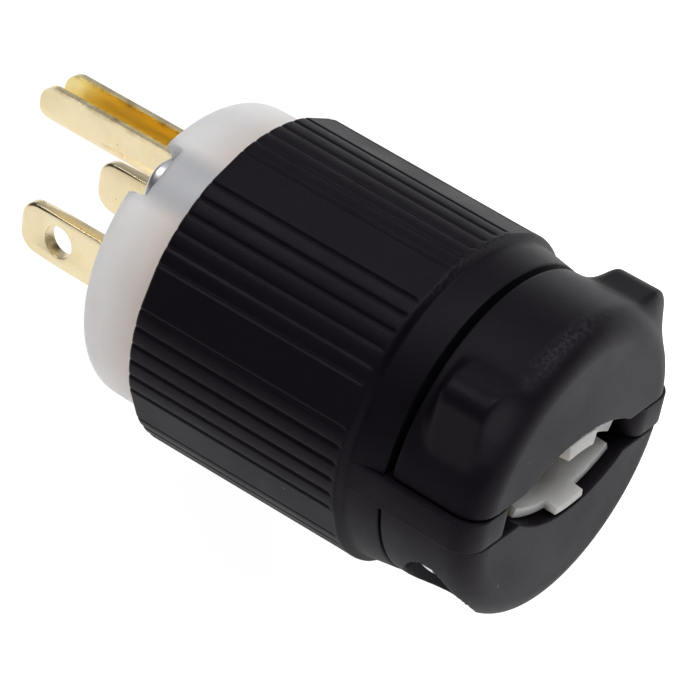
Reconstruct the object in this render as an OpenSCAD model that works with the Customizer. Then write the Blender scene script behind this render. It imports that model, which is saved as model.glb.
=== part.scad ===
// Three-wire power plug: a white face with two flat blades and a folded ground
// pin, a ribbed black shell, and a two-part clamp that grips the cord.
// The plug is drawn along X with the blades at the front and the ground pin
// above them, and then rolled so that it lies on one of the shell's flat panels.

/* [Face] */
// Step from the shell's rim in to the side of the face
face_step = 1.9; // [1.6:0.1:2.3]
// How far the face stands out of the shell
face_out = 9.2; // [8:0.1:10]
// Rounding of the face's front edge
face_round = 2.4; // [1:0.1:3]
// Thickness of the face's front wall
face_wall = 6; // [5.5:0.1:6.5]

/* [Blades] */
// Height of a blade
blade_w = 6.35; // [6:0.05:6.6]
// Thickness of a blade
blade_t = 1.52; // [1.4:0.02:1.7]
// Distance from the middle of one blade to the middle of the other
blade_pitch = 12.7; // [12.2:0.1:13]
// How far the blades reach out of the face
blade_len = 17.6; // [16:0.1:18.4]
// How far the blades sit below the shell's axis
blade_drop = 3.1; // [2.8:0.1:3.4]
// Diameter of the hole near the tip of the line blade
blade_hole_d = 3.9; // [3:0.1:4.2]
// Distance from the face to that hole
blade_hole_x = 12; // [11:0.1:12.5]
// Rounding of the corners of the tip
blade_tip_r = 2.3; // [0.8:0.1:2.6]

/* [Ground pin] */
// Outer width of the folded pin
pin_w = 4.8; // [4.4:0.1:5]
// Thickness of the folded sheet
pin_wall = 0.8; // [0.7:0.05:1.2]
// Height of the pin's middle above the middle of the blades
pin_rise = 11.89; // [11.7:0.01:12]
// How far the pin reaches out of the face
pin_len = 20.6; // [19:0.1:22]
// Height of the pin's side walls above its middle
pin_side = 2.9; // [2.5:0.1:3.1]

/* [Shell] */
// Radius of the shell at its rim
shell_r = 19.7; // [18:0.1:21.6]
// Length of the ribbed part
rib_len = 27.6; // [27:0.2:34]
// Loss of radius along the ribbed part
shell_taper = 0.42; // [0:0.02:0.6]
// Grooves in each of the eight groups
grooves = 6; // [4:1:6]
// Angle from one groove to the next
groove_step = 6; // [5:0.5:6]
// Radius of a groove's round bottom
groove_r = 0.45; // [0.4:0.05:0.6]
// Depth of a groove
groove_depth = 0.25; // [0.15:0.05:0.4]
// Length of the smooth neck behind the ribs
neck_len = 4.35; // [4:0.05:6]
// Step from the shell's rim in to the rear end of the neck
neck_step = 1.8; // [1.5:0.1:1.9]
// Radius of the passage that the wires come in through
passage_r = 10.2; // [9.5:0.1:10.6]

/* [Cord clamp] */
// Distance from the neck to the rear of the clamp
clamp_len = 11.55; // [11.2:0.05:14]
// Step from the neck in to the side of the two clamp halves
clamp_step = 0.15; // [0.1:0.05:0.4]
// Rounding of their rear edge
clamp_round = 3; // [1.5:0.1:3.5]
// Gap between the neck and the upper half
upper_gap = 0.75; // [0.5:0.05:1.2]
// Gap between the neck and the lower half
lower_gap = 0.2; // [0.1:0.05:0.5]
// Thickness of the shell's two ears between the halves
ear_t = 3.6; // [3.2:0.1:4.2]
// How far an ear stands out of the neck
ear_out = 0.45; // [0.2:0.05:0.6]
// Seam between an ear and a clamp half
seam = 0.15; // [0.05:0.05:0.3]
// Height of the cord opening's arches above its middle
arch_h = 4.6; // [4.4:0.1:5]
// Distance from a clamp screw to the end of these arches
cord_wall = 2.9; // [2.6:0.1:3.4]
// How far the top of the lugs lies below the top of the clamp
lug_drop = 3.65; // [3.2:0.05:4.2]
// Distance from the clamp's side in to a lug's outer face, near its top
lug_in = 1.55; // [1.3:0.05:1.9]
// Length of a lug along the plug
lug_len = 6.6; // [6.2:0.1:7]
// Lean of a lug's outer face
lug_lean = 4; // [2:0.2:5]
// Rounding of a lug's upper edge
lug_round = 2.2; // [1:0.1:2.4]

/* [Cord grips] */
// Thickness of the upper grip
upper_grip_t = 2.25; // [1.5:0.05:2.3]
// Thickness of the lower grip
lower_grip_t = 1.3; // [1:0.05:1.4]
// How far each end of a grip stays inside the cord opening
grip_end = 0.7; // [0.6:0.05:1.4]
// Clearance between a grip and its arch
grip_gap = 0.1; // [0.05:0.05:0.2]
// How far the grips are set in from the rear of the clamp
grip_inset = 1.4; // [0.6:0.1:2]
// How far the middle tab of a grip stands out of the clamp
tab_out = 0.1; // [0:0.05:0.5]
// Half of a tab's width
tab_y = 2.45; // [2:0.05:3]
// Flare of a grip's inner side at the rear
grip_flare = 0.4; // [0.2:0.05:0.8]

/* [Screws] */
// Distance from the neck's side in to a clamp screw
clamp_screw_in = 5.6; // [5.3:0.1:5.7]
// Radius of a clamp screw's thread
clamp_screw_r = 1.7; // [1.4:0.05:1.7]
// Radius of a clamp screw's head
clamp_head_r = 3; // [2.7:0.1:3.2]
// Distance from the face's side in to an assembly screw
long_screw_in = 3.5; // [3.4:0.1:3.8]
// Direction of the first assembly screw, from the right-hand side upwards
long_screw_deg = 57; // [54:1:60]
// Radius of an assembly screw's thread
long_screw_r = 1.75; // [1.5:0.05:1.75]
// Radius of an assembly screw's head
long_head_r = 3; // [2.6:0.1:3]
// Radius of a terminal screw's thread
term_screw_r = 1.7; // [1.4:0.05:1.75]
// Radius of a terminal screw's head
term_head_r = 2.9; // [2.6:0.1:3]

/* [Hidden] */
$fn = 96;
eps = 0.01;
// How far a cut runs past the piece that it cuts
past = 1;
groups = 8;
period = 360 / groups;
roll = period / 2;
thread_gap = 0.05;
slide_gap = 0.2;
fit_gap = 0.1;

// Radii that follow the shell's own
face_r = shell_r - face_step;
neck_r = shell_r - neck_step;
clamp_r = neck_r - clamp_step;

// Stations along the plug: the face is at zero and the cord end is behind it
skirt_len = 3.8;
rim_x = -face_out;
skirt_x = rim_x - skirt_len;
rib_x = rim_x - rib_len;
neck_x = rib_x - neck_len;
rear_x = neck_x - clamp_len;
upper_x = neck_x - upper_gap;
lower_x = neck_x - lower_gap;

// Shell wall
rib_r = shell_r - shell_taper;
taper_deg = atan(shell_taper / rib_len);
step_round = 0.5;
rim_round = 0.4;
wall_t = 2.5;
rear_wall_t = 1.5;
blend_r = rib_r - 2 * step_round;
cavity_r = shell_r - wall_t;
wall_x = rib_x + rear_wall_t;
panel_deg = period - (grooves - 1) * groove_step;
panel_half = shell_r * sin(panel_deg / 2) + wall_t;

// Terminals
blade_y = blade_pitch / 2;
blade_z = -blade_drop;
pin_z = blade_z + pin_rise;
pin_r = pin_w / 2;
face_side_t = 2.5;
base_len = 15;
floor_t = 3;
tail_len = 5;
tail_half = 3.2;
base_r = face_r - face_side_t;
base_x = -face_wall;
base_rear_x = base_x - base_len;
pocket_x = base_x - floor_t;
term_x = pocket_x - tail_len;
shank_x = term_x - tail_len;
wire_gap = 1.2;
plate_t = 1.2;
plate_w = 7;
pocket_half = plate_w / 2 + 0.9;
pocket_in = 3.4;
ground_half = plate_w / 2 + 0.7;
ground_in = 2.6;
term_head_t = 1.9;
term_slot = 0.9;
tip_out = 1;

// Assembly screws
long_screw_c = face_r - long_screw_in;
notch_floor_x = -3;
long_head_t = 1.5;
long_grip = 12;
boss_gap = 1;
long_tip_x = base_rear_x - long_grip;
boss_x = base_rear_x - boss_gap;
boss_r = 3.3;
recess_w = 3.6;
recess_t = 0.8;
recess_depth = 0.9;

// Clamp screws and ears
ear_y = neck_r + ear_out;
clamp_screw_y = neck_r - clamp_screw_in;
clamp_z = ear_t / 2 + seam;
screw_shift = 0.3;
screw_x = (upper_x + rear_x) / 2 + screw_shift;
seat_in = 11.35;
seat_z = seat_in - clamp_r;
seat_gap = 0.45;
clamp_head_t = 2.2;
clamp_slot = 1;
clamp_slot_depth = 1.1;
pillar_r = 3;
ear_in = 1.5;
ear_in_y = clamp_screw_y - ear_in;
ear_round = 3;

// Lugs and cord opening
lug_y = clamp_r - lug_in;
lug_top = clamp_r - lug_drop;
lug_corner = 1.5;
lug_sink = 0.1;
lug_root_y = clamp_screw_y - 4.3;
tip_gap = 0.8;
clamp_tip_z = lug_top - 3.3;
cord_y = clamp_screw_y - cord_wall;
arch_rise = arch_h - clamp_z;
arch_r = (cord_y * cord_y + arch_rise * arch_rise) / (2 * arch_rise);
grip_y = cord_y - grip_end;
grip_front_gap = 1.2;
flare_len = 3;

// Rolls the finished piece with the plug, on to the panel that it lies on
module lying() {
    rotate([roll, 0, 0])
        children();
}

// Turns a profile of radius and station about the plug's axis
module turned() {
    rotate([0, 90, 0])
        rotate_extrude()
            children();
}

// Turns a piece drawn on the right-hand side to another direction
module toward(deg) {
    rotate([deg, 0, 0])
        children();
}

// A round bar along X between two stations
module bar(r, from_x, to_x) {
    translate([from_x, 0, 0])
        rotate([0, 90, 0])
            cylinder(r = r, h = to_x - from_x);
}

// A box between two opposite corners
module block(low, high) {
    translate(low)
        cube(high - low);
}

// A rectangle between two opposite corners
module pane(low, high) {
    translate(low)
        square(high - low);
}

// A profile drawn in Y and Z, pulled along X between two stations
module pulled(from_x, to_x) {
    translate([from_x, 0, 0])
        rotate([90, 0, 90])
            linear_extrude(to_x - from_x)
                children();
}

// Half profile of a round piece whose rear edge is rounded
module rear_rounded(r, from_x, to_x, round) {
    pane([0, from_x + round], [r, to_x]);
    pane([0, from_x], [r - round, to_x]);
    translate([r - round, from_x + round])
        circle(round);
}

// Half profile of a round piece whose front edge is rounded
module front_rounded(r, from_x, to_x, round) {
    pane([0, from_x], [r, to_x - round]);
    pane([0, from_x], [r - round, to_x]);
    translate([r - round, to_x - round])
        circle(round);
}

// Section of the folded ground pin, grown by a clearance
module pin_section(grow) {
    translate([0, pin_z])
        circle(pin_r + grow);
    pane([-pin_r - grow, pin_z], [pin_r + grow, pin_z + pin_side + grow]);
}

// Places a piece at both assembly screws
module at_long_screws() {
    for (deg = [long_screw_deg, long_screw_deg + 180])
        toward(deg)
            translate([0, long_screw_c, 0])
                children();
}

// Front face: a cup with slots for the blades and notches for two screws
module front_face() {
    color("whitesmoke")
        lying()
            difference() {
                turned()
                    difference() {
                        front_rounded(face_r, skirt_x, 0, face_round);
                        pane([-eps, skirt_x - past], [base_r + fit_gap, base_x]);
                    }
                for (side = [-1, 1])
                    translate([base_x / 2, side * blade_y, blade_z])
                        cube([face_wall + 2 * past, blade_t + fit_gap, blade_w + fit_gap], center = true);
                pulled(base_x - past, past)
                    pin_section(fit_gap / 2);
                at_long_screws() {
                    bar(long_head_r + slide_gap, notch_floor_x, past);
                    block([notch_floor_x, 0, -long_head_r - slide_gap],
                          [past, face_r, long_head_r + slide_gap]);
                    bar(long_screw_r + slide_gap, skirt_x - past, 0);
                }
            }
}

// Terminal base: carries the blades and has a pocket round each terminal
module terminal_base() {
    color("gainsboro")
        lying()
            difference() {
                bar(base_r, base_rear_x, base_x);
                for (side = [0, 1])
                    mirror([0, side, 0])
                        block([base_rear_x - past, blade_y - pocket_in, blade_z - pocket_half],
                              [pocket_x, face_r, blade_z + pocket_half]);
                block([base_rear_x - past, -ground_half, pin_z - pin_r - ground_in],
                      [pocket_x, ground_half, face_r]);
                for (side = [-1, 1])
                    translate([base_x, side * blade_y, blade_z])
                        cube([2 * floor_t + 2 * past, blade_t + fit_gap, blade_w + fit_gap], center = true);
                pulled(pocket_x - past, base_x + past)
                    pin_section(fit_gap / 2);
                at_long_screws()
                    bar(long_screw_r + slide_gap, base_rear_x - past, base_x + past);
            }
}

// Flat blade: a bar with a rounded and bevelled tip and a threaded hole for its
// terminal screw, with or without the hole near its tip
module blade(side, tip_hole) {
    color("khaki")
        lying()
            translate([0, side * blade_y, blade_z])
                difference() {
                    intersection() {
                        rotate([90, 0, 0])
                            translate([0, 0, -blade_t])
                                linear_extrude(2 * blade_t)
                                    blade_side();
                        translate([0, 0, -blade_w])
                            linear_extrude(2 * blade_w)
                                blade_edge();
                    }
                    if (tip_hole)
                        translate([blade_hole_x, -blade_t, 0])
                            rotate([-90, 0, 0])
                                cylinder(d = blade_hole_d, h = 2 * blade_t);
                    translate([term_x, -blade_t, 0])
                        rotate([-90, 0, 0])
                            cylinder(r = term_screw_r + thread_gap, h = 2 * blade_t);
                }
}

// Outline of a blade seen from its side
module blade_side() {
    pane([shank_x, -blade_w / 2], [blade_len - blade_tip_r, blade_w / 2]);
    pane([shank_x, blade_tip_r - blade_w / 2], [blade_len, blade_w / 2 - blade_tip_r]);
    for (z = [-1, 1])
        translate([blade_len - blade_tip_r, z * (blade_w / 2 - blade_tip_r)])
            circle(blade_tip_r);
}

// Outline of a blade seen from above, with the bevels of its tip
module blade_edge() {
    bevel = blade_t * 0.32;
    polygon([
        [shank_x, -blade_t / 2], [blade_len - 2 * bevel, -blade_t / 2],
        [blade_len, bevel - blade_t / 2], [blade_len, blade_t / 2 - bevel],
        [blade_len - 2 * bevel, blade_t / 2], [shank_x, blade_t / 2]
    ]);
}

module line_blade() {
    blade(1, true);
}

module neutral_blade() {
    blade(-1, false);
}

// Ground pin: sheet folded to a trough with a rounded nose, and a flat tail
// with the threaded hole of its terminal screw
module ground_pin() {
    tail_z = pin_z - pin_r;
    color("goldenrod")
        lying()
            difference() {
                union() {
                    intersection() {
                        pulled(pocket_x - past, pin_len)
                            difference() {
                                pin_section(0);
                                translate([0, pin_z])
                                    circle(pin_r - pin_wall);
                                pane([pin_wall - pin_r, pin_z],
                                     [pin_r - pin_wall, pin_z + pin_side + past]);
                            }
                        translate([0, pin_w, 0])
                            rotate([90, 0, 0])
                                linear_extrude(2 * pin_w)
                                    pin_nose();
                    }
                    block([shank_x, -tail_half, tail_z],
                          [pocket_x - fit_gap, tail_half, tail_z + pin_wall]);
                }
                translate([term_x, 0, tail_z - past])
                    cylinder(r = term_screw_r + thread_gap, h = pin_wall + 2 * past);
            }
}

// Outline of the pin seen from its side: a bullet with a longer lower curve
module pin_nose() {
    low = pin_z - pin_r;
    high = pin_z + pin_side;
    round = (high - low) / 2 - 0.3;
    pane([pocket_x - 2 * past, low - past], [pin_len - round, high + past]);
    pane([pocket_x - 2 * past, low + round], [pin_len, high - round]);
    for (z = [low + round, high - round])
        translate([pin_len - round, z])
            circle(round);
}

// Pressure plate drawn flat, with its clearance hole
module plate() {
    color("khaki")
        difference() {
            translate([-plate_w / 2, -plate_w / 2, 0])
                cube([plate_w, plate_w, plate_t]);
            translate([0, 0, -past])
                cylinder(r = term_screw_r + slide_gap, h = plate_t + 2 * past);
        }
}

// Terminal screw drawn upright, with the underside of its head at zero
module terminal_screw(length) {
    color("silver")
        difference() {
            union() {
                cylinder(r = term_head_r, h = term_head_t);
                translate([0, 0, -length])
                    cylinder(r = term_screw_r, h = length + eps);
            }
            translate([0, 0, term_head_t])
                cube([3 * term_head_r, term_slot, 2 * past], center = true);
        }
}

// Places a piece drawn upright over the line or neutral terminal
module over_blade(side, height) {
    lying()
        translate([term_x, side * (blade_y + blade_t / 2 + height), blade_z])
            rotate([-90 * side, 0, 0])
                children();
}

// Places a piece drawn upright over the ground terminal
module over_pin(height) {
    lying()
        translate([term_x, 0, pin_z - pin_r + pin_wall + height])
            children();
}

module line_plate() {
    over_blade(1, wire_gap)
        plate();
}

module neutral_plate() {
    over_blade(-1, wire_gap)
        plate();
}

module ground_plate() {
    over_pin(wire_gap)
        plate();
}

module line_screw() {
    over_blade(1, wire_gap + plate_t)
        terminal_screw(wire_gap + plate_t + blade_t + tip_out);
}

module neutral_screw() {
    over_blade(-1, wire_gap + plate_t)
        terminal_screw(wire_gap + plate_t + blade_t + tip_out);
}

module ground_screw() {
    over_pin(wire_gap + plate_t)
        terminal_screw(wire_gap + plate_t + pin_wall + tip_out);
}

// Shell: a tapered cup with grouped ribs, a neck, and two ears that reach back
// between the clamp halves
module shell() {
    color("#232228")
        lying()
            difference() {
                union() {
                    turned()
                        shell_profile();
                    at_long_screws()
                        bar(boss_r, wall_x - past, boss_x);
                    for (side = [0, 1])
                        mirror([0, side, 0])
                            ear();
                }
                shell_grooves();
                shell_flats();
                turned()
                    pane([0, skirt_x], [face_r + fit_gap, past]);
                at_long_screws()
                    bar(long_screw_r + thread_gap, long_tip_x - past, boss_x + past);
            }
}

// Half profile of the shell's wall
module shell_profile() {
    difference() {
        union() {
            polygon([[0, rim_x], [shell_r - rim_round, rim_x], [shell_r, rim_x - rim_round],
                     [rib_r, rib_x + step_round], [0, rib_x + step_round]]);
            translate([shell_r - rim_round, rim_x - rim_round])
                circle(rim_round);
            rear_rounded(rib_r, rib_x, rib_x + 2 * step_round, step_round);
            polygon([[0, rib_x + 0.1], [blend_r, rib_x + 0.1], [blend_r, rib_x],
                     [neck_r, neck_x], [0, neck_x]]);
            difference() {
                pane([blend_r - 0.2, rib_x - step_round], [blend_r + step_round, rib_x + 0.1]);
                translate([blend_r + step_round, rib_x - step_round])
                    circle(step_round);
            }
        }
        polygon([[-eps, rim_x + past], [cavity_r, rim_x + past], [cavity_r, wall_x],
                 [passage_r, wall_x], [passage_r, neck_x - past], [-eps, neck_x - past]]);
    }
}

// Round-bottomed grooves in groups, parallel to the shell's tapered surface
module shell_grooves() {
    for (group = [0 : groups - 1])
        for (i = [0 : grooves - 1])
            toward(group * period + (i - (grooves - 1) / 2) * groove_step)
                translate([rim_x, shell_r + groove_r - groove_depth, 0])
                    rotate([0, 0, taper_deg])
                        bar(groove_r, -rib_len - past, past);
}

// Flat panels between the groups
module shell_flats() {
    for (group = [0 : groups - 1])
        toward((group + 0.5) * period)
            translate([rim_x, shell_r * cos(panel_deg / 2), 0])
                rotate([0, 0, taper_deg])
                    block([step_round - rib_len, 0, -panel_half], [past, wall_t, panel_half]);
}

// One ear: a flat arm with a round pillar that the clamp screw goes through
module ear() {
    difference() {
        union() {
            translate([0, 0, -ear_t / 2])
                linear_extrude(ear_t)
                    ear_plan();
            block([neck_x - eps, neck_r - wall_t, -ear_t / 2], [rib_x + step_round, ear_y, ear_t / 2]);
        }
        translate([screw_x, clamp_screw_y, -ear_t])
            cylinder(r = clamp_screw_r + slide_gap, h = 2 * ear_t);
    }
}

// Outline of an ear seen from above
module ear_plan() {
    pane([rear_x + ear_round, ear_in_y], [neck_x + past, ear_y]);
    pane([rear_x, ear_in_y], [neck_x + past, ear_y - ear_round]);
    translate([rear_x + ear_round, ear_y - ear_round])
        circle(ear_round);
    translate([screw_x, clamp_screw_y])
        circle(pillar_r);
}

// Body of a clamp half, drawn as the upper one
module clamp_half(front_x) {
    intersection() {
        turned()
            rear_rounded(clamp_r, rear_x, front_x, clamp_round);
        block([rear_x - past, -clamp_r - past, clamp_z],
              [front_x + past, clamp_r + past, clamp_r + past]);
    }
}

// Cuts the arch of the cord opening, drawn for the upper half
module cord_arch() {
    translate([0, 0, arch_h - arch_r])
        bar(arch_r, rear_x - past, neck_x + past);
}

// Upper clamp half: two lugs take the threads of the clamp screws
module upper_clamp() {
    color("#232228")
        lying()
            difference() {
                union() {
                    clamp_half(upper_x);
                    for (side = [0, 1])
                        mirror([0, side, 0])
                            lug();
                }
                cord_arch();
                for (side = [-1, 1])
                    translate([screw_x, side * clamp_screw_y, 0])
                        cylinder(r = clamp_screw_r + thread_gap, h = clamp_tip_z + tip_gap);
            }
}

// One lug: its outer face leans outwards towards its foot and its upper edge is round
module lug() {
    from_x = screw_x - lug_len / 2;
    to_x = screw_x + lug_len / 2;
    intersection() {
        pulled(from_x, to_x)
            lug_section();
        translate([0, lug_y, lug_top - lug_round])
            rotate([lug_lean, 0, 0])
                translate([0, 0, -clamp_r])
                    linear_extrude(2 * clamp_r) {
                        pane([from_x, -clamp_screw_y], [to_x, -lug_corner]);
                        pane([from_x + lug_corner, -clamp_screw_y], [to_x - lug_corner, 0]);
                        for (x = [from_x + lug_corner, to_x - lug_corner])
                            translate([x, -lug_corner])
                                circle(lug_corner);
                    }
    }
}

// Outline of a lug seen along the plug: its top runs out of the clamp's round side
module lug_section() {
    middle = [lug_y - lug_round / cos(lug_lean), lug_top - lug_round];
    root_r = clamp_r - lug_sink;
    top_deg = atan2(middle[1], middle[0]) + acos((root_r - lug_round) / norm(middle));
    top = [cos(top_deg), sin(top_deg)];
    edge = [cos(lug_lean), sin(lug_lean)];
    foot_y = lug_y + (middle[1] - clamp_z) * tan(lug_lean);
    polygon([
        [lug_root_y, clamp_z], root_r * top, middle + lug_round * top, middle,
        middle + lug_round * edge, [foot_y, clamp_z]
    ]);
    translate(middle)
        circle(lug_round);
}

// Lower clamp half: deep seats take the heads of the clamp screws
module lower_clamp() {
    color("#232228")
        lying()
            difference() {
                mirror([0, 0, 1])
                    clamp_half(lower_x);
                mirror([0, 0, 1])
                    cord_arch();
                for (side = [-1, 1])
                    translate([screw_x, side * clamp_screw_y, 0]) {
                        translate([0, 0, -clamp_r - past])
                            cylinder(r = clamp_head_r + seat_gap, h = clamp_r + past + seat_z);
                        translate([0, 0, -clamp_r])
                            cylinder(r = clamp_screw_r + slide_gap, h = clamp_r);
                    }
            }
}

// Cord grip: a curved plate in one arch, with a tab that stands out at the rear
module grip(thick) {
    outer = arch_r - grip_gap;
    top = arch_h - grip_gap;
    color("whitesmoke")
        difference() {
            intersection() {
                translate([0, 0, top - outer])
                    bar(outer, rear_x - tab_out, upper_x - grip_front_gap);
                union() {
                    block([rear_x + grip_inset, -grip_y, -past], [0, grip_y, arch_r]);
                    block([rear_x - tab_out - past, -tab_y, -past], [0, tab_y, arch_r]);
                }
            }
            translate([0, 0, top - outer])
                bar(outer - thick, rear_x - tab_out - past, upper_x);
            translate([rear_x - tab_out, 0, top - outer])
                rotate([0, 90, 0])
                    cylinder(r1 = outer - thick + grip_flare, r2 = outer - thick, h = flare_len);
        }
}

module upper_grip() {
    lying()
        grip(upper_grip_t);
}

module lower_grip() {
    lying()
        mirror([0, 0, 1])
            grip(lower_grip_t);
}

// Clamp screw: driven from below, through the lower half and the ear
module clamp_screw(side) {
    color("silver")
        lying()
            translate([screw_x, side * clamp_screw_y, 0])
                difference() {
                    union() {
                        translate([0, 0, seat_z - clamp_head_t])
                            cylinder(r = clamp_head_r, h = clamp_head_t);
                        translate([0, 0, seat_z - eps])
                            cylinder(r = clamp_screw_r, h = clamp_tip_z - seat_z);
                    }
                    translate([0, 0, seat_z - clamp_head_t])
                        cube([3 * clamp_head_r, clamp_slot, 2 * clamp_slot_depth], center = true);
                }
}

module left_clamp_screw() {
    clamp_screw(1);
}

module right_clamp_screw() {
    clamp_screw(-1);
}

// Assembly screw: holds the face to the bosses inside the shell
module long_screw(deg) {
    color("silver")
        lying()
            toward(deg)
                translate([0, long_screw_c, 0])
                    difference() {
                        union() {
                            bar(long_head_r, notch_floor_x, notch_floor_x + long_head_t);
                            bar(long_screw_r, long_tip_x, notch_floor_x + eps);
                        }
                        for (turn = [0, 90])
                            translate([notch_floor_x + long_head_t, 0, 0])
                                rotate([turn, 0, 0])
                                    cube([2 * recess_depth, recess_w, recess_t], center = true);
                    }
}

module upper_assembly_screw() {
    long_screw(long_screw_deg);
}

module lower_assembly_screw() {
    long_screw(long_screw_deg + 180);
}

front_face();
terminal_base();
line_blade();
neutral_blade();
ground_pin();
line_plate();
neutral_plate();
ground_plate();
line_screw();
neutral_screw();
ground_screw();
shell();
upper_clamp();
lower_clamp();
upper_grip();
lower_grip();
left_clamp_screw();
right_clamp_screw();
upper_assembly_screw();
lower_assembly_screw();
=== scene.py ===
# %% [markdown]
# A three-wire power plug with a ribbed black shell, dressed for its portrait.
# The solids come from the CAD frame in metres. Here each visible piece is modelled
# again with the soft edges and blends of the real mouldings and stampings, gets a
# finish of its own, and takes the place of the plain solid.

# %% Load the frame
import math

import bmesh
import bpy
from mathutils import Matrix, Vector


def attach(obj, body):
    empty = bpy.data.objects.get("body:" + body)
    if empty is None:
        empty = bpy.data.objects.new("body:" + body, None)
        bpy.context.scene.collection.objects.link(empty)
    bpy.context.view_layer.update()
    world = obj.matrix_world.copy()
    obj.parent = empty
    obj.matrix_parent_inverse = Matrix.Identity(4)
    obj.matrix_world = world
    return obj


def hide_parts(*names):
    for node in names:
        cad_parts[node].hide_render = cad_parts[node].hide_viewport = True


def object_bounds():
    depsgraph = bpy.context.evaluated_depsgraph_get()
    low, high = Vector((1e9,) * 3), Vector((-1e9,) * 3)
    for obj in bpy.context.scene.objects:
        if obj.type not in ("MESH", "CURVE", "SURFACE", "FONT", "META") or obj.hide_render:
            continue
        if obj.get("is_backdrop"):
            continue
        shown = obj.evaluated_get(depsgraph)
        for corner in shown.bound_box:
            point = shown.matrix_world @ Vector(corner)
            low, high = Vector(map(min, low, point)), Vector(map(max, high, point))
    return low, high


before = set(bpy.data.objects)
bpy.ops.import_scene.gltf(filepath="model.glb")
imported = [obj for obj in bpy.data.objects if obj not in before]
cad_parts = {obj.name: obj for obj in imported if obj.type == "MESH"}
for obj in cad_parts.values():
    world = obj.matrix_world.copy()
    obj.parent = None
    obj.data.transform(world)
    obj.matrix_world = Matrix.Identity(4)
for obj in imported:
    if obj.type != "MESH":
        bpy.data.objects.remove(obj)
cad_low, cad_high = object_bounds()
print("frame:", len(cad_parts), "nodes, box", [round(v, 4) for v in (*cad_low, *cad_high)])

# %% [markdown]
# The plug is easiest to model in millimetres, with its axis along X, its blades at
# the front and the ground pin straight up. The real one lies on the table rolled on to
# a flat panel, so each finished piece is rolled and shrunk to metres in one last move.
# Camera, lamps and finishes live in the frame's own metres.

# %% Working scale
ROLL = math.radians(22.5)
MM = 0.001
print("roll", round(math.degrees(ROLL), 1), "degrees, one millimetre is", MM)

# %% [markdown]
# The camera stands behind the cord end and above the plug. Its long lens keeps the
# ribs almost parallel. Its place and its three directions are written out, because a
# small roll of the picture can't be had from a simple track-to.

# %% Camera
CAMERA_PLACE = (-0.1646, 0.1360, 0.2557)
CAMERA_LENS, CAMERA_SENSOR = 158.9, 36
scene = bpy.context.scene
camera_data = bpy.data.cameras.new("camera")
camera = bpy.data.objects.new("camera", camera_data)
scene.collection.objects.link(camera)
right = Vector((-0.7754, -0.6236, -0.0993)).normalized()
ahead = Vector((0.4394, -0.4198, -0.7941)).normalized()
above = right.cross(ahead).normalized()
right = ahead.cross(above)
stand = Matrix((right, above, -ahead)).transposed().to_4x4()
stand.translation = Vector(CAMERA_PLACE)
camera.matrix_world = stand
camera_data.sensor_width = CAMERA_SENSOR
camera_data.lens = CAMERA_LENS
camera_data.clip_start, camera_data.clip_end = 0.02, 20
scene.camera = camera
print("camera lens", CAMERA_LENS, "mm")

# %% [markdown]
# Black plastic shows mostly what it mirrors: faces that look down at a white table turn
# grey, and faces that look up at a dim room stay black. So the room is a dim sky with one
# pale window, low on the far side in front of the plug. The eye sees plain white instead.
# Nodes are added by a few short helpers, so that the code reads like the sums it stands for.

# %% Studio: the room
WINDOW_WAY = (0.47, -0.83, 0.30)
WINDOW_EDGE = 0.84
ROOM_LIGHT, WINDOW_LIGHT = 0.04, 0.44


def feed(tree, node, inputs):
    """Links a node's inputs to sockets, and sets the others to plain values."""
    for key, value in inputs.items():
        if isinstance(value, bpy.types.NodeSocket):
            tree.links.new(value, node.inputs[key])
        else:
            node.inputs[key].default_value = value


def add(tree, kind, inputs=None, **settings):
    """A new node with its settings and inputs."""
    node = tree.nodes.new(kind)
    for key, value in settings.items():
        setattr(node, key, value)
    feed(tree, node, inputs or {})
    return node


def along(tree, where, way):
    """How far a place lies along a direction."""
    dot = add(tree, "ShaderNodeVectorMath", {0: where, 1: way}, operation="DOT_PRODUCT")
    return dot.outputs["Value"]


def ramp(tree, value, first, last, low=0.0, high=1.0, kind="LINEAR"):
    """Maps the range from first to last on to low and high, and holds the ends."""
    limits = {"Value": value, "From Min": first, "From Max": last, "To Min": low, "To Max": high}
    return add(tree, "ShaderNodeMapRange", limits, interpolation_type=kind).outputs[0]


def mix_shaders(tree, share, first, second):
    """Light from two shaders, with a share of the second."""
    return add(tree, "ShaderNodeMixShader", {"Fac": share, 1: first, 2: second}).outputs[0]


scene.view_settings.view_transform = "Standard"
world = bpy.data.worlds.new("studio")
scene.world = world
world.use_nodes = True
tree = world.node_tree
tree.nodes.clear()
heading = add(tree, "ShaderNodeTexCoord").outputs["Generated"]
facing = along(tree, heading, Vector(WINDOW_WAY).normalized())
window = ramp(tree, facing, WINDOW_EDGE, 1.0, ROOM_LIGHT, WINDOW_LIGHT, "SMOOTHSTEP")
room = add(tree, "ShaderNodeBackground", {"Color": (0.96, 0.96, 1.0, 1), "Strength": window})
plain = add(tree, "ShaderNodeBackground", {"Color": (1, 1, 1, 1)})
to_eye = add(tree, "ShaderNodeLightPath").outputs["Is Camera Ray"]
sky = mix_shaders(tree, to_eye, room.outputs[0], plain.outputs[0])
add(tree, "ShaderNodeOutputWorld", {"Surface": sky})
print("room:", len(tree.nodes), "nodes")

# %% [markdown]
# The table is a plain pale floor to the lamps. To the eye and to mirrors it is mostly a
# white glow, which rises on the far side behind the plug, under the big lamp. That part is
# what the clamp's rear faces mirror, so it makes them greyer than the sides.

# %% Studio: the table
TABLE_SIZE, TABLE_GAP = 6, 0.00002
EYE_SHARE, MIRROR_SHARE = 0.86, 0.70
GLOW_WAY, GLOW_RUN = (-0.7, -0.7, 0), 0.07
NEAR_GLOW, FAR_GLOW = 1.12, 1.95


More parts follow.
